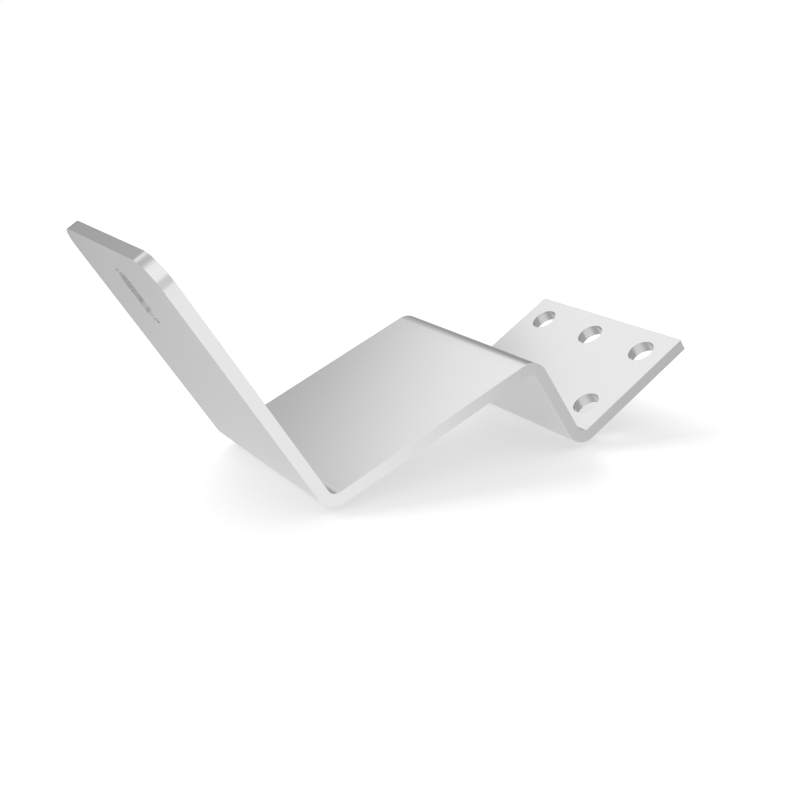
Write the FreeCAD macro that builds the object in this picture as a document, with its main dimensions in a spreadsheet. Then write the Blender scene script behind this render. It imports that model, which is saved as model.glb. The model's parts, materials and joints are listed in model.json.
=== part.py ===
import FreeCAD, Part

# Solar roof hook: one steel plate, cut flat with its holes and folded three times.
#
# The plate runs, from the roof outwards, through four flats:
#   base     lies on the rafter and takes six screws
#   step     stands square on the base and lifts the hook over the tile below
#   arm      runs down the roof over that tile and climbs a little, as the tile does
#   upright  stands square to the base, and its slot takes the bolt of the module rail
#
# Frame: +Z is the roof's outward normal, +X points up the roof and +Y across the plate.
# The origin is the middle of the screw pattern, on the base's underside.

import math
import os

import Sketcher
from FreeCAD import Vector

NODE = "roof_hook"

# A pattern's list of spacings takes this for a gap that keeps the pattern's own pitch.
EVEN = -1.0

# How a constraint numbers the points of a line or an arc, and the sketch's own axes. The
# origin is the start of the X axis.
START, END, CENTRE = 1, 2, 3
X_AXIS, Y_AXIS = -1, -2
ORIGIN = (X_AXIS, START)

# Two places this close are the same, in mm, and two volumes within this share are equal.
SAME_PLACE, SAME_VOLUME = 1e-6, 1e-3

# Driving dimensions in millimetres, degrees and counts, one cell each.
# Lengths of flats run to sharp corners, as on a workshop drawing of a folded part.
SIZES = {
    "plate_width": (75.0, "width of the strip, the same along the whole hook"),
    "plate_thickness": (4.0, "thickness of the plate"),
    "bend_radius": (3.0, "inside radius of every fold"),
    "base_length": (52.0, "base, from its free end to the step's outer face"),
    "step_height": (38.0, "from the base's underside to the ridge where the arm starts"),
    "arm_length": (78.5, "arm's top face, from the ridge to the upright"),
    "arm_rise_angle": (9.0, "climb of the arm towards the upright"),
    "upright_height": (92.5, "upright's outer face, from the heel to its end"),
    "corner_radius": (9.0, "rounding of the upright's two free corners"),
    "screw_hole_diameter": (9.0, "clearance hole for an 8 mm wood screw"),
    "screw_end_margin": (9.5, "from the base's free end to the first row of holes"),
    "screw_row_pitch": (27.0, "between rows, along the roof's slope"),
    "screw_column_pitch": (27.0, "between holes of a row, across the plate"),
    "screw_rows": (2, "rows of screw holes"),
    "screw_columns": (3, "holes in a row"),
    "slot_width": (9.0, "width of the rail slot, for an M8 bolt"),
    "slot_length": (20.0, "rail slot from end to end"),
    "slot_top_margin": (9.0, "from the slot's upper end to the upright's end"),
}


def size(name):
    """The value of one driving dimension."""
    return SIZES[name][0]


def cell(name):
    """One driving dimension as it is written in an expression."""
    return f"<<sizes>>.{name}"


# Directions on the fold profile, where x is the sketch's X and z its Y.
ARM_RISE = math.radians(size("arm_rise_angle"))
ARM_DIRECTION = Vector(-math.cos(ARM_RISE), math.sin(ARM_RISE), 0)
ARM_NORMAL = Vector(math.sin(ARM_RISE), math.cos(ARM_RISE), 0)
RIGHT = Vector(1, 0, 0)
UP = Vector(0, 1, 0)


def make_sheet(doc):
    """The spreadsheet: a name, its value with the name as alias, and what it measures."""
    sheet = doc.addObject("Spreadsheet::Sheet", "sizes")
    sheet.Label = "sizes"
    for row, (name, (value, meaning)) in enumerate(SIZES.items(), start=1):
        sheet.set(f"A{row}", name)
        sheet.set(f"B{row}", str(value))
        sheet.setAlias(f"B{row}", name)
        sheet.set(f"C{row}", meaning)
    doc.recompute()
    return sheet


def new_sketch(body, name, role):
    """An empty sketch of the body, flat on the origin plane of that role."""
    sketch = body.newObject("Sketcher::SketchObject", name)
    plane = next(item for item in body.Origin.OriginFeatures if item.Role == role)
    sketch.AttachmentSupport = [(plane, "")]
    sketch.MapMode = "FlatFace"
    return sketch


def constrain(sketch, kind, *where, name=None, follows=None):
    """Adds a constraint. A named one takes its value from the sheet through an expression."""
    index = sketch.addConstraint(Sketcher.Constraint(kind, *where))
    if name:
        sketch.renameConstraint(index, name)
    if follows:
        sketch.setExpression(f"Constraints.{name}", follows)
    return index


def place_folds():
    """Places the sharp corners and the three folds on the profile, from the sizes alone.

    A fold is its centre and the two directions in which it touches its flats. The heel fold
    and the base fold open upwards to the right, so they touch the upright face on their left
    and the flat below them. The ridge fold opens down to the left.
    """
    thickness = size("plate_thickness")
    radius = size("bend_radius")
    free_end = size("screw_end_margin") + (size("screw_rows") - 1) * size("screw_row_pitch") / 2
    step_left = free_end - size("base_length")
    ridge = Vector(step_left + thickness, size("step_height"), 0)
    valley = ridge + ARM_DIRECTION * size("arm_length")

    def beside_arm(x, above_top):
        """The point at x on the line that lies above_top over the arm's top face."""
        return Vector(x, ridge.y + (above_top - (x - ridge.x) * ARM_NORMAL.x) / ARM_NORMAL.y, 0)

    base_centre = Vector(step_left + thickness + radius, thickness + radius, 0)
    ridge_centre = beside_arm(step_left - radius, -thickness - radius)
    heel_centre = beside_arm(valley.x + radius, radius)
    return {
        "free_end": free_end,
        "ridge": ridge,
        "valley": valley,
        "heel": beside_arm(valley.x - thickness, -thickness),
        "base_fold": (base_centre, -RIGHT, -UP),
        "ridge_fold": (ridge_centre, RIGHT, ARM_NORMAL),
        "heel_fold": (heel_centre, -RIGHT, -ARM_NORMAL),
    }


def draw_fold_profile(sketch):
    """The closed outline of the folded strip, seen from the side.

    Its two long faces are drawn as lines joined by concentric arcs, so that one thickness
    and one inside radius hold through all three folds.
    """
    thickness = size("plate_thickness")
    inside = size("bend_radius")
    outside = inside + thickness
    place = place_folds()
    free_end = place["free_end"]
    top = place["heel"].y + size("upright_height")
    ids = {}

    def touch(fold, radius, flat):
        """Where a fold's arc meets one of its flats: flat 0 is upright, flat 1 lies."""
        centre = place[fold][0]
        return centre + place[fold][1 + flat] * radius

    def line(name, start, end):
        ids[name] = sketch.addGeometry(Part.LineSegment(start, end))

    def arc(name, fold, radius):
        """Every arc runs counter-clockwise from its upright flat to its lying flat."""
        centre, upright_way, lying_way = place[fold]
        first = math.atan2(upright_way.y, upright_way.x)
        last = math.atan2(lying_way.y, lying_way.x)
        circle = Part.Circle(centre, Vector(0, 0, 1), radius)
        ids[name] = sketch.addGeometry(Part.ArcOfCircle(circle, first, last))

    def corner(name, point, first, second):
        """A sharp corner of two faces, kept as a construction point on both lines."""
        ids[name] = sketch.addGeometry(Part.Point(point), True)
        constrain(sketch, "PointOnObject", ids[name], START, ids[first])
        constrain(sketch, "PointOnObject", ids[name], START, ids[second])

    # The lower face, from the base's free end round to the upright's end.
    line("base_under", Vector(free_end, 0, 0), touch("base_fold", outside, 1))
    arc("base_fold_outer", "base_fold", outside)
    line("step_left", touch("base_fold", outside, 0), touch("ridge_fold", inside, 0))
    arc("ridge_fold_inner", "ridge_fold", inside)
    line("arm_under", touch("ridge_fold", inside, 1), touch("heel_fold", outside, 1))
    arc("heel_fold_outer", "heel_fold", outside)
    upright_left = touch("heel_fold", outside, 0)
    line("upright_left", upright_left, Vector(upright_left.x, top, 0))

    # The upper face, the same way round.
    line("base_top", Vector(free_end, thickness, 0), touch("base_fold", inside, 1))
    arc("base_fold_inner", "base_fold", inside)
    line("step_right", touch("base_fold", inside, 0), touch("ridge_fold", outside, 0))
    arc("ridge_fold_outer", "ridge_fold", outside)
    line("arm_top", touch("ridge_fold", outside, 1), touch("heel_fold", inside, 1))
    arc("heel_fold_inner", "heel_fold", inside)
    upright_right = touch("heel_fold", inside, 0)
    line("upright_right", upright_right, Vector(upright_right.x, top, 0))

    # The two ends of the strip.
    line("free_end", Vector(free_end, 0, 0), Vector(free_end, thickness, 0))
    line("upright_end", Vector(upright_left.x, top, 0), Vector(upright_right.x, top, 0))

    smooth_joints = [
        ("base_under", END, "base_fold_outer", END),
        ("base_fold_outer", START, "step_left", START),
        ("step_left", END, "ridge_fold_inner", START),
        ("ridge_fold_inner", END, "arm_under", START),
        ("arm_under", END, "heel_fold_outer", END),
        ("heel_fold_outer", START, "upright_left", START),
        ("base_top", END, "base_fold_inner", END),
        ("base_fold_inner", START, "step_right", START),
        ("step_right", END, "ridge_fold_outer", START),
        ("ridge_fold_outer", END, "arm_top", START),
        ("arm_top", END, "heel_fold_inner", END),
        ("heel_fold_inner", START, "upright_right", START),
    ]
    for first, first_end, second, second_end in smooth_joints:
        constrain(sketch, "Tangent", ids[first], first_end, ids[second], second_end)
    sharp_joints = [
        ("base_under", START, "free_end", START),
        ("base_top", START, "free_end", END),
        ("upright_left", END, "upright_end", START),
        ("upright_right", END, "upright_end", END),
    ]
    for first, first_end, second, second_end in sharp_joints:
        constrain(sketch, "Coincident", ids[first], first_end, ids[second], second_end)

    for fold in ("base_fold", "ridge_fold", "heel_fold"):
        inner, outer = ids[fold + "_inner"], ids[fold + "_outer"]
        constrain(sketch, "Coincident", inner, CENTRE, outer, CENTRE)
        name = fold + "_radius"
        constrain(sketch, "Radius", inner, inside, name=name, follows=cell("bend_radius"))

    for name in ("base_under", "base_top", "upright_end"):
        constrain(sketch, "Horizontal", ids[name])
    for name in ("free_end", "step_left", "step_right", "upright_left", "upright_right"):
        constrain(sketch, "Vertical", ids[name])
    constrain(sketch, "Parallel", ids["arm_under"], ids["arm_top"])
    constrain(
        sketch, "Angle", ids["arm_top"], math.pi - ARM_RISE,
        name="arm_slope", follows=f"180 deg - {cell('arm_rise_angle')} * 1 deg",
    )

    corner("ridge_corner", place["ridge"], "arm_top", "step_right")
    corner("valley_corner", place["valley"], "arm_top", "upright_right")
    corner("heel_corner", place["heel"], "arm_under", "upright_left")

    underside_end = (ids["base_under"], START)
    constrain(sketch, "PointOnObject", *underside_end, X_AXIS)
    constrain(
        sketch, "DistanceX", *ORIGIN, *underside_end, free_end,
        name="free_end_place",
        follows=f"{cell('screw_end_margin')}"
        f" + ({cell('screw_rows')} - 1) * {cell('screw_row_pitch')} / 2",
    )
    constrain(
        sketch, "Distance", ids["free_end"], thickness,
        name="plate_thickness", follows=cell("plate_thickness"),
    )
    constrain(
        sketch, "DistanceX", ids["step_left"], START, *underside_end, size("base_length"),
        name="base_length", follows=cell("base_length"),
    )
    constrain(
        sketch, "DistanceY", *ORIGIN, ids["ridge_corner"], START, size("step_height"),
        name="step_height", follows=cell("step_height"),
    )
    constrain(
        sketch, "Distance", ids["valley_corner"], START, ids["ridge_corner"], START,
        size("arm_length"), name="arm_length", follows=cell("arm_length"),
    )
    constrain(
        sketch, "DistanceY", ids["heel_corner"], START, ids["upright_left"], END,
        size("upright_height"), name="upright_height", follows=cell("upright_height"),
    )

    # The upright's end and outer face are measured, not driven, for the slot to follow.
    reach = constrain(sketch, "DistanceY", *ORIGIN, ids["upright_left"], END, top, name="end_level")
    sketch.setDriving(reach, False)


def round_free_corners(body, pad):
    """Rounds the two corners at the upright's free end."""
    end_level = pad.Shape.BoundBox.ZMax
    half_width = size("plate_width") / 2
    corners = []
    for number, edge in enumerate(pad.Shape.Edges, start=1):
        middle = edge.CenterOfMass
        at_end = abs(middle.z - end_level) < SAME_PLACE
        at_side = abs(abs(middle.y) - half_width) < SAME_PLACE
        if at_end and at_side:
            corners.append(f"Edge{number}")
    fillet = body.newObject("PartDesign::Fillet", "free_corners")
    fillet.Base = (pad, corners)
    fillet.Radius = size("corner_radius")
    fillet.setExpression("Radius", cell("corner_radius"))
    return fillet


def drill_screw_holes(body):
    """The screw holes: one drilled hole, repeated over the rows and columns of the base."""
    rows, columns = size("screw_rows"), size("screw_columns")
    first_x = -(rows - 1) * size("screw_row_pitch") / 2
    first_y = -(columns - 1) * size("screw_column_pitch") / 2
    sketch = new_sketch(body, "first_screw_hole", "XY_Plane")
    radius = size("screw_hole_diameter") / 2
    circle = sketch.addGeometry(Part.Circle(Vector(first_x, first_y, 0), Vector(0, 0, 1), radius))
    constrain(
        sketch, "Diameter", circle, 2 * radius,
        name="screw_hole_diameter", follows=cell("screw_hole_diameter"),
    )
    places = [
        ("DistanceX", "first_hole_x", first_x, "screw_rows", "screw_row_pitch"),
        ("DistanceY", "first_hole_y", first_y, "screw_columns", "screw_column_pitch"),
    ]
    for kind, name, value, count, pitch in places:
        constrain(
            sketch, kind, circle, CENTRE, *ORIGIN, -value,
            name=name, follows=f"({cell(count)} - 1) * {cell(pitch)} / 2",
        )
    body.Document.recompute()

    hole = body.newObject("PartDesign::Hole", "screw_hole")
    hole.Profile = sketch
    hole.ThreadType = "None"
    hole.Diameter = size("screw_hole_diameter")
    hole.setExpression("Diameter", cell("screw_hole_diameter"))
    hole.DepthType = "ThroughAll"
    hole.Reversed = True
    body.Document.recompute()

    pattern = body.newObject("PartDesign::LinearPattern", "screw_holes")
    pattern.Originals = [hole]
    pattern.Direction = (sketch, ["H_Axis"])
    pattern.Mode = "Spacing"
    pattern.Occurrences = rows
    pattern.Spacings = [EVEN] * (rows - 1)
    pattern.setExpression("Occurrences", cell("screw_rows"))
    pattern.setExpression("Offset", cell("screw_row_pitch"))
    pattern.Direction2 = (sketch, ["V_Axis"])
    pattern.Mode2 = "Spacing"
    pattern.Occurrences2 = columns
    pattern.Spacings2 = [EVEN] * (columns - 1)
    pattern.setExpression("Occurrences2", cell("screw_columns"))
    pattern.setExpression("Offset2", cell("screw_column_pitch"))
    body.Tip = pattern
    return pattern


def cut_rail_slot(body, profile):
    """The upright slot of the rail bolt, centred on the plate near the upright's end."""
    radius = size("slot_width") / 2
    straight = size("slot_length") - size("slot_width")
    end_level = profile.getDatum("end_level").Value
    upper = end_level - size("slot_top_margin") - radius
    lower = upper - straight
    sketch = new_sketch(body, "rail_slot_outline", "YZ_Plane")

    def half_circle(level, first):
        circle = Part.Circle(Vector(0, level, 0), Vector(0, 0, 1), radius)
        return sketch.addGeometry(Part.ArcOfCircle(circle, first, first + math.pi))

    def side(y):
        return sketch.addGeometry(Part.LineSegment(Vector(y, lower, 0), Vector(y, upper, 0)))

    upper_end = half_circle(upper, 0)
    lower_end = half_circle(lower, math.pi)
    left, right = side(-radius), side(radius)
    constrain(sketch, "Tangent", upper_end, START, right, END)
    constrain(sketch, "Tangent", right, START, lower_end, END)
    constrain(sketch, "Tangent", lower_end, START, left, START)
    constrain(sketch, "Tangent", left, END, upper_end, END)
    constrain(sketch, "Equal", upper_end, lower_end)
    constrain(sketch, "PointOnObject", upper_end, CENTRE, Y_AXIS)
    constrain(sketch, "PointOnObject", lower_end, CENTRE, Y_AXIS)
    constrain(
        sketch, "Radius", upper_end, radius,
        name="end_radius", follows=f"{cell('slot_width')} / 2",
    )
    constrain(
        sketch, "DistanceY", lower_end, CENTRE, upper_end, CENTRE, straight,
        name="straight_length", follows=f"{cell('slot_length')} - {cell('slot_width')}",
    )
    constrain(
        sketch, "DistanceY", *ORIGIN, upper_end, CENTRE, upper,
        name="upper_centre",
        follows=f"<<fold_profile>>.Constraints.end_level"
        f" - ({cell('slot_top_margin')} + {cell('slot_width')} / 2) * 1 mm",
    )
    body.Document.recompute()

    slot = body.newObject("PartDesign::Pocket", "rail_slot")
    slot.Profile = sketch
    slot.Type = "ThroughAll"
    body.Tip = slot
    return slot


def make_roof_hook(doc):
    """The whole hook as one body: folded strip, rounded corners, screw holes, rail slot."""
    body = doc.addObject("PartDesign::Body", NODE)
    body.Label = NODE
    profile = new_sketch(body, "fold_profile", "XZ_Plane")
    draw_fold_profile(profile)
    doc.recompute()

    pad = body.newObject("PartDesign::Pad", "folded_strip")
    pad.Profile = profile
    pad.SideType = "Symmetric"
    pad.Length = size("plate_width")
    pad.setExpression("Length", cell("plate_width"))
    doc.recompute()

    corners = round_free_corners(body, pad)
    doc.recompute()
    holes = drill_screw_holes(body)
    doc.recompute()
    slot = cut_rail_slot(body, profile)
    doc.recompute()

    # What each step should take away, so that a cut that misses the plate is noticed.
    thickness = size("plate_thickness")
    corner_share = (1 - math.pi / 4) * size("corner_radius") ** 2
    hole_area = math.pi * size("screw_hole_diameter") ** 2 / 4
    slot_straight = size("slot_length") - size("slot_width")
    slot_area = slot_straight * size("slot_width") + math.pi * size("slot_width") ** 2 / 4
    steps = [
        ("rounded corners", pad, corners, 2 * corner_share),
        ("screw holes", corners, holes, size("screw_rows") * size("screw_columns") * hole_area),
        ("rail slot", holes, slot, slot_area),
    ]
    for what, before, after, area in steps:
        removed = before.Shape.Volume - after.Shape.Volume
        if abs(removed - area * thickness) > SAME_VOLUME * before.Shape.Volume:
            raise RuntimeError(f"{what} took {removed:.1f} mm3 instead of {area * thickness:.1f}")
        print(f"{what}: {removed:.1f} mm3 removed")
    return body


def check(doc):
    """Stops if any feature failed or any sketch is left loose."""
    for item in doc.Objects:
        if "Invalid" in item.State or "Error" in item.State:
            raise RuntimeError(f"{item.Label} failed: {item.State}")
        if item.TypeId == "Sketcher::SketchObject" and not item.FullyConstrained:
            raise RuntimeError(f"{item.Label} is not fully constrained")


def export(body):
    """Writes the node's STEP file after a last look at its shape."""
    shape = body.Shape
    if shape.isNull() or not shape.isValid() or len(shape.Solids) != 1:
        raise RuntimeError(f"{body.Label} is not one valid solid")
    os.makedirs("parts", exist_ok=True)
    shape.exportStep(f"parts/{body.Label}.step")
    box = shape.BoundBox
    print(f"{body.Label}: {shape.Volume / 1000:.2f} cm3, {len(shape.Faces)} faces")
    print(f"x {box.XMin:.2f} to {box.XMax:.2f}, y {box.YMin:.2f} to {box.YMax:.2f}")
    print(f"z {box.ZMin:.2f} to {box.ZMax:.2f}, centre of mass {shape.Solids[0].CenterOfMass}")


doc = FreeCAD.newDocument("solar_roof_hook")
make_sheet(doc)
roof_hook = make_roof_hook(doc)
doc.recompute()
check(doc)
export(roof_hook)
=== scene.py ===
# %% [markdown]
# # Solar roof hook
#
# A roof hook is a strip of steel plate that holds the rail of a solar array above the tiles. It is
# cut flat, with its screw holes and its slot, and then folded three times. This lesson builds the
# visible skin of the finished part in the same way: a flat blank is laid out with numpy, and one
# function folds all of it at once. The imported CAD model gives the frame, and every size that is
# written there is read from it and not typed again.

import json
import math

import bpy
import numpy as np
from mathutils import Matrix, Vector


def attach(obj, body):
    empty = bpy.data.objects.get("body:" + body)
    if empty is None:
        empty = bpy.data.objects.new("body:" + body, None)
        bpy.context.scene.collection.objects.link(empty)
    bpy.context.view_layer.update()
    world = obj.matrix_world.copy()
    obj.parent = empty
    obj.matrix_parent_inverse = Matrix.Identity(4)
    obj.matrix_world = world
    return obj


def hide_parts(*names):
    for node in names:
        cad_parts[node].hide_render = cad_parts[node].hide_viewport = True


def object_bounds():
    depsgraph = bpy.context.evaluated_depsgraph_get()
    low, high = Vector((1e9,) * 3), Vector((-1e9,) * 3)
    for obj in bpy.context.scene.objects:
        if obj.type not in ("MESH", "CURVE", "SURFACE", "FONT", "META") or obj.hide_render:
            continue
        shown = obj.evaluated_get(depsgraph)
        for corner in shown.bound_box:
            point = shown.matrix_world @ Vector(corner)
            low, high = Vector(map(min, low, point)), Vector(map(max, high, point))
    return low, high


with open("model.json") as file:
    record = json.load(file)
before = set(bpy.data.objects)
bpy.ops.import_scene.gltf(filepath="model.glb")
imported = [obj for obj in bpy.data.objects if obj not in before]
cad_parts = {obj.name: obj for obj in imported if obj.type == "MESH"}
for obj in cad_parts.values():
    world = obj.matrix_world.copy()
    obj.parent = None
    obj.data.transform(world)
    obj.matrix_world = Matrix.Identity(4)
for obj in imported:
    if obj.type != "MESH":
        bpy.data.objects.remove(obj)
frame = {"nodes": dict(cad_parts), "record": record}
cad_low, cad_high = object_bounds()
mounts = {mount["name"]: mount for mount in frame["record"]["mounts"]}
print("nodes in the frame:", sorted(frame["nodes"]))

# %% [markdown]
# ## The folded line
#
# Seen from the side, the plate is a line of four straight flats and three folds. A sheet keeps
# its thickness through a fold, so the line down the middle of the plate says everything: the two
# faces lie half a thickness to each side of it. The line could be drawn as a curve object and
# bevelled, but then holes and rounded corners would have to be cut afterwards. Here the line is
# kept as a table of knots instead, one at each place where a fold begins or ends, because that is
# all that is needed to find any point on it.

# %% Sizes of the plate
MM = 0.001
PLATE_WIDTH = cad_high.y - cad_low.y
THICKNESS = mounts["rail_face_inner"]["pos_m"][0] - mounts["rail_face_outer"]["pos_m"][0]
BEND_RADIUS = 3 * MM
BASE_LENGTH = 52 * MM
STEP_HEIGHT = 38 * MM
ARM_RISE = math.radians(9)
FREE_END = cad_high.x
UPRIGHT_END = cad_high.z
UPRIGHT_MIDDLE = mounts["rail_face_outer"]["pos_m"][0] + THICKNESS / 2
print(f"plate {PLATE_WIDTH / MM:.1f} mm wide and {THICKNESS / MM:.1f} mm thick")


# %% Knots of the folded line
def folded_line():
    """The knots of the plate's middle line: distance along it, heading and place.

    The middle lines of neighbouring flats meet in a sharp corner. A fold of mid radius r that
    turns by angle a leaves each flat r * tan(a / 2) before that corner, and is r * a long.
    """
    half = THICKNESS / 2
    step_middle = FREE_END - BASE_LENGTH + half
    ridge_rise = STEP_HEIGHT - half * (1 - math.sin(ARM_RISE)) / math.cos(ARM_RISE)
    heel_rise = ridge_rise + (step_middle - UPRIGHT_MIDDLE) * math.tan(ARM_RISE)
    corners = np.array([
        (FREE_END, half), (step_middle, half), (step_middle, ridge_rise),
        (UPRIGHT_MIDDLE, heel_rise), (UPRIGHT_MIDDLE, UPRIGHT_END),
    ])
    runs = np.diff(corners, axis=0)
    lengths = np.hypot(*runs.T)
    headings = np.arctan2(runs[:, 1], runs[:, 0])
    turns = np.diff(headings)
    mid_radius = BEND_RADIUS + half
    cut_back = np.pad(mid_radius * np.tan(np.abs(turns) / 2), 1)
    flats = lengths - cut_back[:-1] - cut_back[1:]
    arcs = mid_radius * np.abs(turns)
    pieces = np.zeros(len(flats) + len(arcs))
    pieces[0::2], pieces[1::2] = flats, arcs
    knot_along = np.concatenate([[0], np.cumsum(pieces)])
    knot_heading = np.repeat(headings, 2)
    flat_starts = corners[:-1] + runs / lengths[:, None] * cut_back[:-1, None]
    flat_ends = corners[1:] - runs / lengths[:, None] * cut_back[1:, None]
    knot_place = np.stack([flat_starts, flat_ends], axis=1).reshape(-1, 2)
    return knot_along, knot_heading, knot_place


KNOT_ALONG, KNOT_HEADING, KNOT_PLACE = folded_line()
BLANK_LENGTH = KNOT_ALONG[-1]
FOLD_KNOTS = (1, 3, 5)
print("flats and folds end at", np.round(KNOT_ALONG / MM, 2), "mm along the blank")

# %% [markdown]
# ## Folding
#
# A point of the flat blank has three numbers: how far along the strip it is, how far across, and
# how high above the middle of the plate. Folding turns these into a place in space. On a flat the
# heading stays the same, and on a fold it changes evenly, so one formula serves both: the chord of
# an arc of length s that turns by a is s * sin(a / 2) / (a / 2) long, and points half of a past
# the heading at its start. For a straight run, a is nought and the chord is the run itself.


# %% The fold itself
def heading_at(along):
    """Heading of the middle line, which turns evenly on a fold and not at all on a flat."""
    return np.interp(along, KNOT_ALONG, KNOT_HEADING)


def fold(along, across, height):
    """Places blank points in space: start of their piece, plus its chord, plus their height."""
    piece = np.clip(np.searchsorted(KNOT_ALONG, along, side="right") - 1, 0, len(KNOT_ALONG) - 2)
    run = along - KNOT_ALONG[piece]
    heading = heading_at(along)
    turn = heading - KNOT_HEADING[piece]
    chord = run * np.sinc(turn / (2 * np.pi))
    towards = KNOT_HEADING[piece] + turn / 2
    x = KNOT_PLACE[piece, 0] + chord * np.cos(towards) + height * np.sin(heading)
    z = KNOT_PLACE[piece, 1] + chord * np.sin(towards) - height * np.cos(heading)
    return np.stack([x, across + 0 * x, z], axis=-1)


def fold_direction(along, part_along, part_across, part_up):
    """Turns a direction given in the blank with the piece of plate that it belongs to."""
    heading = heading_at(along)
    x = part_along * np.cos(heading) + part_up * np.sin(heading)
    z = part_along * np.sin(heading) - part_up * np.cos(heading)
    return np.stack([x, part_across + 0 * x, z], axis=-1)


ends = fold(np.array([0, BLANK_LENGTH]), 0.0, 0.0)
print("the middle line runs from", np.round(ends[0] / MM, 2), "to", np.round(ends[1] / MM, 2))

# %% [markdown]
# ## Outlines on the blank
#
# Every outline of the blank is round about something: a hole about its centre, the slot about a
# short line, and the plate itself, with its rounded corners, about a smaller rectangle. So one
# formula draws them all. It takes the nearest point of that inner spine and goes out from it by
# a radius. Real cut plate isn't razor sharp: its edges are broken by a tenth of a millimetre or
# so, which is what catches the light. A radius that is a little smaller or larger gives the same
# outline further in on the plate, and that is used to round the edges.

# %% Holes, slot and corners
EDGE_BREAK = 0.08 * MM
FREE_CORNER_RADIUS = 9 * MM
BASE_CORNER_RADIUS = 0.5 * MM
HALF_WIDTH = PLATE_WIDTH / 2
screws = mounts["base_screws"]["dims"]
slot = mounts["rail_slot"]
HOLE_RADIUS = screws["hole_r_mm"] * MM
HOLE_ROWS = [FREE_END - way * screws["spacing_x_mm"] / 2 * MM for way in (1, -1)]
HOLE_COLUMNS = [way * screws["spacing_y_mm"] / 2 * MM for way in (-1, 0, 1)]
SLOT_RADIUS = slot["dims"]["hole_r_mm"] * MM
SLOT_REACH = slot["dims"]["slot_length_mm"] / 2 * MM - SLOT_RADIUS
SLOT_CENTRE = BLANK_LENGTH - (UPRIGHT_END - slot["pos_m"][2])
print(f"{len(HOLE_ROWS) * len(HOLE_COLUMNS)} screw holes of {2 * HOLE_RADIUS / MM:.0f} mm")


def round_about(points, spine_low, spine_high, radius):
    """Points at a radius from a box-shaped spine: nearest spine point + radius * unit way out."""
    nearest = np.clip(points, spine_low, spine_high)
    way = points - nearest
    return nearest + way * (np.reshape(radius, (-1, 1)) / np.hypot(*way.T)[:, None])


def plate_outline(points, inset):
    """The plate's own outline, with its corner radii, further in by the inset."""
    corner = np.where(points[:, 0] < BLANK_LENGTH / 2, BASE_CORNER_RADIUS, FREE_CORNER_RADIUS)
    margin = np.stack([corner, corner], axis=1)
    low = np.array([0, -HALF_WIDTH]) + margin
    high = np.array([BLANK_LENGTH, HALF_WIDTH]) - margin
    return round_about(points, low, high, corner - inset)


def hole_outline(centre):
    """The outline of a screw hole, as a function of points around it and the inset."""
    return lambda points, inset: round_about(points, centre, centre, HOLE_RADIUS + inset)


def slot_outline(points, inset):
    """The outline of the rail slot, round about a short line along the strip."""
    low = np.array([SLOT_CENTRE - SLOT_REACH, 0])
    high = np.array([SLOT_CENTRE + SLOT_REACH, 0])
    return round_about(points, low, high, SLOT_RADIUS + inset)


# %% [markdown]
# ## Lines of the mesh
#
# All patches of the skin share one set of lines along the blank and one set across it. Where two
# patches meet they then have the same points, and the seams close by themselves. The lines are
# close together only where something is round: around the holes, through the folds and at the
# two free corners.

# %% Lines along and across the blank
FINE = 1.25 * MM
COARSE = 6 * MM
CORNER_STEP = BASE_CORNER_RADIUS / 3
FOLD_STEP = math.radians(4)
ROUND_OFF = 1e-9
ROW_SPLIT = sum(HOLE_ROWS) / len(HOLE_ROWS)
COLUMN_SPLIT = HOLE_COLUMNS[2] / 2
SLOT_MARGIN = 14 * MM
SLOT_CELL = SLOT_CENTRE - SLOT_REACH - SLOT_RADIUS - SLOT_MARGIN


def evenly(start, end, step):
    """Evenly spaced values from start to end, no further apart than the step."""
    return np.linspace(start, end, max(2, math.ceil((end - start) / step - ROUND_OFF) + 1))


def lines_along():
    """Values along the blank: fine at the holes, folds and slot, coarse on the plain flats."""
    base_end = KNOT_ALONG[1]
    parts = [
        evenly(0, BASE_CORNER_RADIUS, CORNER_STEP),
        evenly(BASE_CORNER_RADIUS, ROW_SPLIT, FINE),
        evenly(ROW_SPLIT, base_end, FINE),
    ]
    for first in FOLD_KNOTS:
        turn = abs(KNOT_HEADING[first + 1] - KNOT_HEADING[first])
        arc = KNOT_ALONG[first + 1] - KNOT_ALONG[first]
        parts.append(evenly(KNOT_ALONG[first], KNOT_ALONG[first + 1], arc * FOLD_STEP / turn))
        flat_end = SLOT_CELL if first == FOLD_KNOTS[-1] else KNOT_ALONG[first + 2]
        parts.append(evenly(KNOT_ALONG[first + 1], flat_end, COARSE))
    parts.append(evenly(SLOT_CELL, BLANK_LENGTH, FINE))
    return np.unique(np.concatenate(parts))


def lines_across():
    """Values across the blank, with a line midway between neighbouring columns of holes."""
    side = HALF_WIDTH - BASE_CORNER_RADIUS
    middle = evenly(-COLUMN_SPLIT, COLUMN_SPLIT, FINE)
    right = np.concatenate([evenly(COLUMN_SPLIT, side, FINE), evenly(side, HALF_WIDTH, CORNER_STEP)])
    return np.unique(np.concatenate([-right, middle, right]))


ALONG, ACROSS = lines_along(), lines_across()
print(f"{len(ALONG)} lines along the blank and {len(ACROSS)} across it")

# %% [markdown]
# ## Patches of the skin
#
# Blender could triangulate an outline with holes by itself, but long thin triangles shade badly
# beside a rounded edge. Here every patch is a grid. A plain stretch of plate is a grid of its own
# lines. Around a hole the grid is a ring, whose columns run from the hole's outline out to the
# sides of the cell that the hole lies in. Each patch is laid on both faces of the plate.


# %% A store for patches
ROLLED, CUT, BORED = 0, 1, 2
patches = []
print("finishes by number: rolled", ROLLED, "cut", CUT, "bored", BORED)


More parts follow.
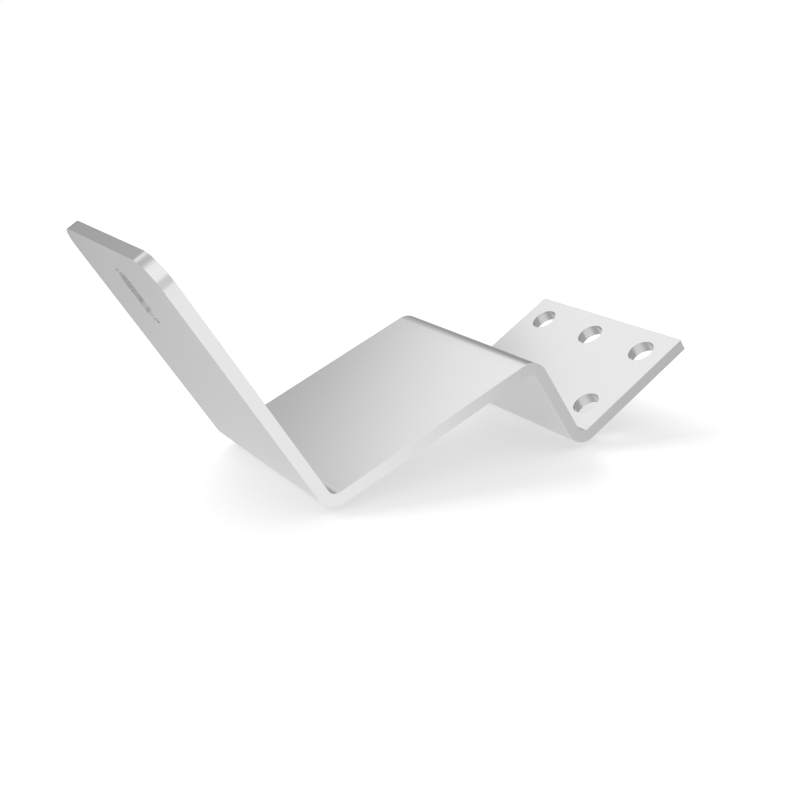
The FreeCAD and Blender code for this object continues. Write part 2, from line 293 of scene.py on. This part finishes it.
def add_patch(along, across, height, normals, chart, finish):
    """Folds one grid of the blank and keeps its points, normals, faces and chart.

    The faces take the winding that agrees with the normals, so that they point outwards.
    """
    points = fold(along, across, height).reshape(-1, 3)
    normals = normals.reshape(-1, 3)
    rows, columns = np.shape(along)
    number = np.arange(rows * columns).reshape(rows, columns)
    corners = [number[:-1, :-1], number[1:, :-1], number[1:, 1:], number[:-1, 1:]]
    faces = np.stack(corners, axis=-1).reshape(-1, 4)
    diagonals = points[faces[:, 2:]] - points[faces[:, :2]]
    winding = np.cross(diagonals[:, 0], diagonals[:, 1])
    if np.sum(winding * normals[faces[:, 0]]) < 0:
        faces = faces[:, ::-1]
    patches.append((points, normals, faces, chart.reshape(-1, 2), finish))


def add_both_faces(along, across):
    """Lays a grid on the upper and the lower rolled face. Its chart is the blank itself."""
    for side in (1, -1):
        normals = fold_direction(along, 0, 0, side)
        chart = np.stack([along, across], axis=-1)
        add_patch(along, across, side * THICKNESS / 2 + 0 * along, normals, chart, ROLLED)


# %% Strips and rings
def between(lines, start, end):
    """The lines from start to end, both included."""
    return lines[(lines > start - ROUND_OFF) & (lines < end + ROUND_OFF)]


def add_strip(start, end):
    """A plain stretch of plate, on a grid of its own lines, short of the broken edges."""
    reach = HALF_WIDTH - EDGE_BREAK
    lines = between(ALONG, start, end), ACROSS.clip(-reach, reach)
    add_both_faces(*np.meshgrid(*lines, indexing="ij"))


def box_loop(along, across):
    """Once round a rectangle through all its lines, back to the first point."""
    sides = [
        (along[0] + 0 * across, across), (along, across[-1] + 0 * along),
        (along[-1] + 0 * across, across[::-1]), (along[::-1], across[0] + 0 * along),
    ]
    first_point = [[along[0], across[0]]]
    return np.concatenate([np.stack(side, axis=1)[:-1] for side in sides] + [first_point])


def add_ring(start, end, left, right, outline, rings):
    """The plate between a hole's outline and its cell: straight columns from one to the other."""
    cell = box_loop(between(ALONG, start, end), between(ACROSS, left, right))
    on_edge = np.isin(cell[:, 0], ALONG[[0, -1]]) | np.isin(cell[:, 1], ACROSS[[0, -1]])
    inner, outer = outline(cell, EDGE_BREAK), cell.copy()
    outer[on_edge] = plate_outline(cell[on_edge], EDGE_BREAK)
    share = np.linspace(0, 1, rings + 1)[:, None, None]
    grid = inner + share * (outer - inner)
    add_both_faces(grid[..., 0], grid[..., 1])
    return cell


print("one loop round the whole blank has", len(box_loop(ALONG, ACROSS)) - 1, "points")

# %% Faces with holes, and the plain stretches between them
RINGS = 6
ROW_CELLS = [(0, ROW_SPLIT), (ROW_SPLIT, KNOT_ALONG[1])]
COLUMN_CELLS = [
    (-HALF_WIDTH, -COLUMN_SPLIT), (-COLUMN_SPLIT, COLUMN_SPLIT), (COLUMN_SPLIT, HALF_WIDTH),
]
cells = []
for row, (start, end) in zip(HOLE_ROWS, ROW_CELLS):
    for column, (left, right) in zip(HOLE_COLUMNS, COLUMN_CELLS):
        outline = hole_outline(np.array([row, column]))
        cells.append((add_ring(start, end, left, right, outline, RINGS), outline, BORED))
add_strip(KNOT_ALONG[1], SLOT_CELL)
slot_cell = add_ring(SLOT_CELL, BLANK_LENGTH, -HALF_WIDTH, HALF_WIDTH, slot_outline, 2 * RINGS)
cells.append((slot_cell, slot_outline, CUT))
print(f"{len(patches)} face patches")

# %% [markdown]
# ## Cut edges
#
# The cut edge is a profile carried once round each outline. It starts on the upper face, turns
# down over a small quarter circle, runs straight through the plate and turns in again below. At
# angle b on a quarter circle of radius e, the profile lies e * (1 - cos b) inside the outline,
# and e * sin b past the circle's centre. The normals come from the same angle, so that the small
# rounding shades softly while the faces beside it stay truly flat.


# %% Walls round every outline
PROFILE_STEPS = 5


def edge_profile():
    """Angle, inset and height of the edge's profile, from the upper face to the lower one."""
    quarter = np.linspace(np.pi / 2, 0, PROFILE_STEPS + 1)
    angle = np.concatenate([quarter, -quarter[::-1]])
    side = np.where(np.arange(len(angle)) <= PROFILE_STEPS, 1, -1)
    centre = side * (THICKNESS / 2 - EDGE_BREAK)
    return angle, EDGE_BREAK * (1 - np.cos(angle)), centre + EDGE_BREAK * np.sin(angle)


def add_wall(loop, outline, finish):
    """Carries the edge profile round one outline. Its chart is the way round and the height."""
    angle, inset, height = edge_profile()
    at_full, further_in = outline(loop, 0), outline(loop, EDGE_BREAK)
    outwards = (at_full - further_in) / EDGE_BREAK
    steps = np.hypot(*np.diff(at_full, axis=0).T)
    way_round = np.concatenate([[0], np.cumsum(steps)])
    places = np.stack([outline(loop, depth) for depth in inset])
    along, across = places[..., 0], places[..., 1]
    lie, stand = np.cos(angle)[:, None], np.sin(angle)[:, None]
    normals = fold_direction(along, lie * outwards[:, 0], lie * outwards[:, 1], stand)
    chart = np.stack(np.broadcast_arrays(way_round[None, :], height[:, None]), axis=-1)
    add_patch(along, across, height[:, None] + 0 * along, normals, chart, finish)


add_wall(box_loop(ALONG, ACROSS), plate_outline, CUT)
for loop, outline, finish in cells:
    add_wall(loop, outline, finish)
print(f"{len(patches)} patches with the cut edges")

# %% [markdown]
# ## One closed mesh
#
# The patches are put into one mesh, and points that fall together become one, which closes the
# skin. The charts stay apart, since each face keeps its own corners in the UV map. The normals
# are handed over as well, because Blender would otherwise average them at the broken edges and
# tint the flats beside them.


# %% Weld the patches and make the piece
WELD_GRID = 1e-6 * MM


def weld(points):
    """Keeps one of each group of points that agree to a millionth of a millimetre."""
    keys = np.round(points / WELD_GRID).astype(np.int64)
    _, kept, number = np.unique(keys, axis=0, return_index=True, return_inverse=True)
    return kept, number.reshape(-1)


def make_skin(name):
    """Joins all patches into one mesh object with its UV map, finishes and normals."""
    counts = [len(patch[0]) for patch in patches]
    offsets = np.concatenate([[0], np.cumsum(counts)[:-1]])
    points = np.concatenate([patch[0] for patch in patches])
    normals = np.concatenate([patch[1] for patch in patches])
    charts = np.concatenate([patch[3] for patch in patches])
    corners = np.concatenate([patch[2] + offset for patch, offset in zip(patches, offsets)])
    finishes = np.concatenate([np.full(len(patch[2]), patch[4]) for patch in patches])
    kept, number = weld(points)

    mesh = bpy.data.meshes.new(name)
    mesh.vertices.add(len(kept))
    mesh.vertices.foreach_set("co", points[kept].ravel())
    mesh.loops.add(corners.size)
    mesh.loops.foreach_set("vertex_index", number[corners].ravel())
    mesh.polygons.add(len(corners))
    mesh.polygons.foreach_set("loop_start", np.arange(0, corners.size, 4))
    mesh.polygons.foreach_set("material_index", finishes)
    mesh.update(calc_edges=True)
    mesh.uv_layers.new(name="blank").uv.foreach_set("vector", charts[corners].ravel())
    mesh.polygons.foreach_set("use_smooth", np.ones(len(corners), dtype=bool))
    mesh.normals_split_custom_set_from_vertices(normals[kept])
    piece = bpy.data.objects.new(name, mesh)
    bpy.context.scene.collection.objects.link(piece)
    return piece


def open_edges(mesh):
    """How many edges don't lie between exactly two faces."""
    used = np.zeros(len(mesh.loops), dtype=np.int32)
    mesh.loops.foreach_get("edge_index", used)
    return int(np.sum(np.bincount(used, minlength=len(mesh.edges)) != 2))


hook = make_skin("folded_plate")
print(f"{len(hook.data.polygons)} faces, {open_edges(hook.data)} open edges")

# %% Take the CAD node's place
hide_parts("roof_hook")
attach(hook, "root")
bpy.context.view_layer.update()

# %% [markdown]
# ## Nodes in a few words
#
# A finish in Blender is a small machine of nodes. Made one by one in code it fills pages, so one
# helper adds a node, sets its options and fills its sockets. A socket takes a plain value, or the
# node or output that feeds it.


# %% A helper for nodes
def add_node(tree, kind, sockets=(), **options):
    """Adds one shader node. Sockets are given by name or number, options by name."""
    node = tree.nodes.new("ShaderNode" + kind)
    for name, value in options.items():
        setattr(node, name, value)
    for socket, value in dict(sockets).items():
        if isinstance(value, bpy.types.Node):
            value = value.outputs[0]
        if isinstance(value, bpy.types.NodeSocket):
            tree.links.new(value, node.inputs[socket])
        else:
            node.inputs[socket].default_value = value
    return node


def add_noise(tree, chart, pitch, detail=2.0):
    """Noise whose patches measure about the pitch in each direction of the chart, from 0 to 1."""
    scale = [1 / size for size in pitch]
    spread = add_node(tree, "Mapping", {"Vector": chart, "Scale": scale})
    return add_node(tree, "TexNoise", {"Vector": spread, "Scale": 1.0, "Detail": detail})


def swing(tree, middle, *swings):
    """A middle value with noise swung about it: middle + sum of reach * (noise - a half)."""
    total = middle - sum(reach for _, reach in swings) / 2
    for noise, reach in swings:
        total = add_node(tree, "Math", {0: noise, 1: reach, 2: total}, operation="MULTIPLY_ADD")
    return total


print("helpers for nodes:", add_node.__name__, add_noise.__name__, swing.__name__)

# %% [markdown]
# ## Rolled steel
#
# The two faces come from the rolling mill and are hardly touched after that. They are satin: a
# fine grain runs along the strip, a tenth of a millimetre from line to line and less than a
# thousandth deep, and the tone changes a little from streak to streak. Both follow the sheet
# round its folds, so they are read from the chart of the blank. Slow clouds of tone and gloss are
# read from the place in space. Where the plate was folded its skin was stretched, and it is a
# little duller and faintly rippled there. The ripple is laid on with a mask that is one on a fold
# and fades out beside it.

# %% Values of the rolled steel
STEEL_TONE = 0.812
SATIN = 0.14
GRAIN_PITCH = (5 * MM, 0.12 * MM, 1.0)
STREAK_PITCH = (70 * MM, 1.6 * MM, 1.0)
CLOUD_PITCH = (11 * MM, 11 * MM, 11 * MM)
RIPPLE_PITCH = (0.5 * MM, 0.9 * MM, 1.0)
GRAIN_DEPTH = 0.0008 * MM
RIPPLE_DEPTH = 0.003 * MM
TONE_SWING = 0.015
STREAK_GLOSS, CLOUD_GLOSS, GRAIN_GLOSS = 0.03, 0.05, 0.03
FOLD_DULLING = 0.04
FOLD_FADE = 2.5 * MM
print(f"grain {GRAIN_PITCH[1] / MM:.2f} mm from line to line, roughness {SATIN}")


def new_material(name):
    """A material with its shader: the tree, and the metal shader in it."""
    material = bpy.data.materials.new(name)
    material.use_nodes = True
    shader = material.node_tree.nodes["Principled BSDF"]
    shader.inputs["Metallic"].default_value = 1.0
    return material, material.node_tree, shader


# %% Mask of the folds
def fold_mask(tree, chart):
    """One on each fold and fading to nought beside it, from the distance to the fold's middle."""
    along = add_node(tree, "SeparateXYZ", {0: chart})
    mask = 0.0
    for first in FOLD_KNOTS:
        start, end = KNOT_ALONG[first:first + 2]
        distance = add_node(tree, "Math", {0: along, 1: (start + end) / 2}, operation="SUBTRACT")
        distance = add_node(tree, "Math", {0: distance}, operation="ABSOLUTE")
        reach = (end - start) / 2
        fade = {"Value": distance, "From Min": reach + FOLD_FADE, "From Max": reach}
        near = add_node(tree, "MapRange", fade, interpolation_type="SMOOTHSTEP")
        mask = add_node(tree, "Math", {0: near, 1: mask}, operation="ADD")
    return mask


print(f"the mask covers {len(FOLD_KNOTS)} folds and {FOLD_FADE / MM} mm beside each")


# %% Rolled steel
def rolled_steel():
    """Satin plate: grain and streaks along the strip, clouds of gloss, rippled folds."""
    material, tree, shader = new_material("rolled_steel")
    chart = add_node(tree, "UVMap", uv_map="blank")
    solid = add_node(tree, "TexCoord").outputs["Object"]
    grain = add_noise(tree, chart, GRAIN_PITCH)
    streaks = add_noise(tree, chart, STREAK_PITCH)
    clouds = add_noise(tree, solid, CLOUD_PITCH)
    ripple = add_noise(tree, chart, RIPPLE_PITCH)
    folds = fold_mask(tree, chart)

    gloss_swings = (streaks, STREAK_GLOSS), (clouds, CLOUD_GLOSS), (grain, GRAIN_GLOSS)
    tone = swing(tree, STEEL_TONE, (streaks, TONE_SWING), (clouds, TONE_SWING))
    gloss = swing(tree, SATIN, *gloss_swings)
    gloss = add_node(
        tree, "Math", {0: folds, 1: FOLD_DULLING, 2: gloss}, operation="MULTIPLY_ADD"
    )
    depth = add_node(tree, "Math", {0: grain, 1: GRAIN_DEPTH}, operation="MULTIPLY")
    rippled = add_node(tree, "Math", {0: ripple, 1: folds}, operation="MULTIPLY")
    height = add_node(
        tree, "Math", {0: rippled, 1: RIPPLE_DEPTH, 2: depth}, operation="MULTIPLY_ADD"
    )
    bump = add_node(tree, "Bump", {"Height": height, "Distance": 1.0, "Strength": 1.0})
    tree.links.new(tone.outputs[0], shader.inputs["Base Color"])
    tree.links.new(gloss.outputs[0], shader.inputs["Roughness"])
    tree.links.new(bump.outputs[0], shader.inputs["Normal"])
    return material


hook.data.materials.append(rolled_steel())
print("rolled steel:", len(hook.data.materials[ROLLED].node_tree.nodes), "nodes")

# %% [markdown]
# ## Cut and bored steel
#
# The outline and the slot were cut by a laser, which leaves fine upright lines on the edge, about
# a quarter of a millimetre apart. The screw holes were bored instead: the tool went round in them,
# so their lines run round too, and their walls are duller. Their walls are also painted darker, as
# painted shade for the inside of the holes. Both finishes read the same chart, the way round the
# outline and the height in the plate, and one function makes both, with the pitch of the marks
# turned from one direction to the other.

# %% Cut steel and bored steel
LASER_PITCH = (0.25 * MM, 4 * MM, 1.0)
TOOL_PITCH = (5 * MM, 0.2 * MM, 1.0)
WAVE_PITCH = (2.2 * MM, 6 * MM, 1.0)
MARK_DEPTH = 0.0006 * MM
CUT_TONE, CUT_SATIN = 0.83, 0.22
# The bored walls' tone is darker than the plate's: it is painted shade for the inside of the holes.
BORED_SHADE_TONE, BORED_SATIN = 0.64, 0.28
MARK_TONE, WAVE_TONE = 0.02, 0.01
MARK_GLOSS, WAVE_GLOSS = 0.06, 0.03


def marked_steel(name, base_tone, satin, mark_pitch):
    """Machined wall: fine marks in one direction, a slow wave round it, and an uneven gloss."""
    material, tree, shader = new_material(name)
    chart = add_node(tree, "UVMap", uv_map="blank")
    marks = add_noise(tree, chart, mark_pitch, detail=1.0)
    waves = add_noise(tree, chart, WAVE_PITCH)

    tone = swing(tree, base_tone, (marks, MARK_TONE), (waves, WAVE_TONE))
    gloss = swing(tree, satin, (marks, MARK_GLOSS), (waves, WAVE_GLOSS))
    depth = add_node(tree, "Math", {0: marks, 1: waves}, operation="ADD")
    bump = add_node(tree, "Bump", {"Height": depth, "Distance": MARK_DEPTH, "Strength": 1.0})
    tree.links.new(tone.outputs[0], shader.inputs["Base Color"])
    tree.links.new(gloss.outputs[0], shader.inputs["Roughness"])
    tree.links.new(bump.outputs[0], shader.inputs["Normal"])
    return material


hook.data.materials.append(marked_steel("cut_steel", CUT_TONE, CUT_SATIN, LASER_PITCH))
# The bored finish carries the darker tone, which is painted shade for the hollow of each hole.
hook.data.materials.append(marked_steel("bored_steel_painted_shade", BORED_SHADE_TONE, BORED_SATIN, TOOL_PITCH))
print("finishes:", [material.name for material in hook.data.materials])

# %% [markdown]
# ## How the hook lies
#
# In use the base is flat on a rafter, and that is how the frame holds the part. Laid on a bench,
# the hook tips over until it rests on its two lower folds. The part isn't turned for that: the
# bench is tilted instead, and so are the camera and the light, which all follow one lying frame.
# Its ground plane touches the round undersides of the folds, so its up direction is square to the
# line between the centres of the two folds, and it lies one outside radius below that line.


# %% The lying frame
def fold_centre(first):
    """Centre of the fold that starts at a knot, from its first point and the way it turns."""
    heading, turn = KNOT_HEADING[first], KNOT_HEADING[first + 1] - KNOT_HEADING[first]
    side = math.copysign(BEND_RADIUS + THICKNESS / 2, turn)
    x, z = KNOT_PLACE[first]
    return Vector((x - side * math.sin(heading), 0, z + side * math.cos(heading)))


base_fold, heel_fold = fold_centre(FOLD_KNOTS[0]), fold_centre(FOLD_KNOTS[-1])
floor_along = (base_fold - heel_fold).normalized()
floor_across = Vector((0, 1, 0))
floor_up = floor_along.cross(floor_across)
floor_place = (base_fold + heel_fold) / 2 - floor_up * (BEND_RADIUS + THICKNESS)
lying = Matrix((floor_along, floor_across, floor_up)).transposed().to_4x4()
lying.translation = floor_place
print(f"the floor is tilted by {math.degrees(math.acos(floor_up.z)):.2f} degrees")


def direction(azimuth, elevation):
    """A direction seen from the hook: azimuth 0 is the front, 90 the base's side, 180 the back."""
    azimuth, elevation = math.radians(azimuth), math.radians(elevation)
    level = math.cos(elevation)
    way = (level * math.sin(azimuth), -level * math.cos(azimuth), math.sin(elevation))
    return lying.to_3x3() @ Vector(way)


# %% [markdown]
# ## Camera
#
# The camera is told in the lying frame too: the place it aims at, how far off it is, and how it
# is turned round and tilted. Read from right to left, the product of matrices starts with a
# camera that looks straight down, draws it back, rolls, tilts and swings it, moves it to the aim,
# and at last lays all of that down with the hook.

# %% Camera
CAMERA_AIM = Vector((-7.48, -10.55, 17.72)) * MM
CAMERA_DISTANCE = 392.59 * MM
CAMERA_AZIMUTH = math.radians(-29.735)
CAMERA_ELEVATION = math.radians(18.257)
CAMERA_ROLL = math.radians(-2.334)
CAMERA_LENS = 55.81
NEAREST = 10 * MM

camera = bpy.data.objects.new("camera", bpy.data.cameras.new("camera"))
bpy.context.scene.collection.objects.link(camera)
camera.matrix_world = (
    lying
    @ Matrix.Translation(CAMERA_AIM)
    @ Matrix.Rotation(CAMERA_AZIMUTH, 4, "Z")
    @ Matrix.Rotation(math.pi / 2 - CAMERA_ELEVATION, 4, "X")
    @ Matrix.Rotation(CAMERA_ROLL, 4, "Z")
    @ Matrix.Translation((0, 0, CAMERA_DISTANCE))
)
camera.data.lens = CAMERA_LENS
camera.data.clip_start = NEAREST
bpy.context.scene.camera = camera
print("the camera stands at", np.round(np.array(camera.matrix_world.translation) / MM, 1), "mm")

# %% [markdown]
# ## Light
#
# Satin metal shows its surroundings more than itself, so lighting it means building something
# for it to mirror. It is usually put into a white tent, and grey cards inside the tent give each
# face a tone of its own. Lamps and real cards would do it, but they would stand in the way when
# the hook is looked at from other sides. The world is that tent here: white in every direction,
# and darkened towards the middle of each card. A card is written as the azimuth and elevation of
# its middle, its inner and outer rim, all in degrees, and its depth. It takes away its depth
# times a smooth step of the angle to its middle, which runs from nought at the outer rim to one
# at the inner rim. The camera itself sees plain white behind the hook.

# %% A white tent with grey cards
TENT_CARDS = {
    "back": (182.2, 7.7, 20.5, 31.9, 0.50),
    "back right": (156.6, 1.2, 26.2, 33.4, 0.43),
    "front right": (64.9, -5.9, 32.1, 35.1, 0.46),
    "front": (2.6, 5.9, 15.5, 18.7, 0.31),
    "high left": (248.1, 37.5, 21.6, 44.3, 0.61),
    "low left": (266.6, -25.9, 20.6, 62.8, 0.70),
    "low back": (182.7, -30.8, 10.1, 13.1, 0.33),
    "high back": (180.2, 37.0, 1.0, 4.0, 0.38),
    "low right": (140.8, -54.7, 26.5, 29.5, 0.33),
    "right": (131.4, 12.3, 12.5, 28.8, 0.40),
}
world = bpy.data.worlds.new("tent")
world.use_nodes = True
bpy.context.scene.world = world


def card_share(tree, looking, card):
    """What one card leaves of the light: 1 - depth * smooth step of the angle to its middle."""
    azimuth, elevation, inner_rim, outer_rim, depth = card
    middle = direction(azimuth, elevation)
    cosine = add_node(tree, "VectorMath", {0: looking, 1: middle}, operation="DOT_PRODUCT")
    angle = add_node(tree, "Math", {0: cosine.outputs["Value"]}, operation="ARCCOSINE")
    rims = {
        "Value": angle, "To Min": 1 - depth, "To Max": 1.0,
        "From Min": math.radians(inner_rim), "From Max": math.radians(outer_rim),
    }
    return add_node(tree, "MapRange", rims, interpolation_type="SMOOTHSTEP")


def hang_cards(tree):
    """The tent's tone in every direction, as the product of what the cards leave."""
    looking = add_node(tree, "TexCoord").outputs["Generated"]
    tone = 1.0
    for card in TENT_CARDS.values():
        share = card_share(tree, looking, card)
        tone = add_node(tree, "Math", {0: share, 1: tone}, operation="MULTIPLY")
    return tone


tent = world.node_tree
seen = add_node(tent, "LightPath").outputs["Is Camera Ray"]
tent_tone = hang_cards(tent)
background_tone = add_node(tent, "Math", {0: tent_tone, 1: seen}, operation="MAXIMUM")
tent.links.new(background_tone.outputs[0], tent.nodes["Background"].inputs["Color"])
bpy.context.scene.view_settings.view_transform = "Standard"
print(len(TENT_CARDS), "cards in the tent")

# %% [markdown]
# ## Shadow lamp
#
# A broad lamp stands low behind the hook, a little to the left, and draws its soft shadow out
# towards the front. It is a sun lamp, whose angle is the width of the light as the hook sees it,
# so its shadows are as soft as those of a large panel. It is kept out of the mirrors, which
# already have the tent.

# %% Shadow lamp
LAMP_AZIMUTH, LAMP_ELEVATION = 200, 20
LAMP_ANGLE = math.radians(75)
LAMP_ENERGY = 5.4

lamp_light = bpy.data.lights.new("shadow_lamp", "SUN")
lamp_light.energy = LAMP_ENERGY
lamp_light.angle = LAMP_ANGLE
lamp = bpy.data.objects.new("shadow_lamp", lamp_light)
bpy.context.scene.collection.objects.link(lamp)
lamp_way = direction(LAMP_AZIMUTH, LAMP_ELEVATION)
lamp.matrix_world = lamp_way.to_track_quat("Z", "Y").to_matrix().to_4x4()
lamp.visible_glossy = False
print("the shadow lamp stands", LAMP_ELEVATION, "degrees above the floor")

# %% [markdown]
# ## Floor
#
# The floor is a plain pale sheet. It is lit as anything else is, which gives the soft shadow under
# the hook, and in the camera's eye it also glows a little, so that it reaches white where no
# shadow falls and runs into the background. It lies a little below the ground plane, so that the
# shadow stays soft where the folds come down. Seen from below it is clear, because the tilted
# floor would hide the hook from a low camera.

# %% Floor
FLOOR_REACH = 3.0
FLOOR_GAP = 2 * MM
FLOOR_PAINT = 0.8
FLOOR_GLOW = 0.37
FLOOR_WHITE = 1.24

floor_corners = [(-1, -1), (1, -1), (1, 1), (-1, 1)]
floor_mesh = bpy.data.meshes.new("floor")
floor_mesh.from_pydata(
    [lying @ Vector((x * FLOOR_REACH, y * FLOOR_REACH, -FLOOR_GAP)) for x, y in floor_corners],
    [],
    [(0, 1, 2, 3)],
)
floor = bpy.data.objects.new("floor", floor_mesh)
bpy.context.scene.collection.objects.link(floor)


def floor_paint():
    """Pale paint from above and clear from below, with a glow that only sight rays meet."""
    material = bpy.data.materials.new("floor_paint")
    material.use_nodes = True
    tree = material.node_tree
    tree.nodes.remove(tree.nodes["Principled BSDF"])
    seen = add_node(tree, "LightPath").outputs["Is Camera Ray"]
    share = add_node(tree, "Math", {0: seen, 1: FLOOR_GLOW}, operation="MULTIPLY")
    paint = add_node(tree, "BsdfDiffuse", {"Color": (FLOOR_PAINT,) * 3 + (1,)})
    glow = add_node(tree, "Emission", {"Strength": FLOOR_WHITE})
    lit = add_node(tree, "MixShader", {0: share, 1: paint, 2: glow})
    below = add_node(tree, "NewGeometry").outputs["Backfacing"]
    clear = add_node(tree, "BsdfTransparent")
    surface = add_node(tree, "MixShader", {0: below, 1: lit, 2: clear})
    tree.links.new(surface.outputs[0], tree.nodes["Material Output"].inputs["Surface"])
    return material


floor.data.materials.append(floor_paint())
floor.visible_glossy = False
print("the floor lies", round(floor_place.length / MM, 1), "mm from the frame's origin")
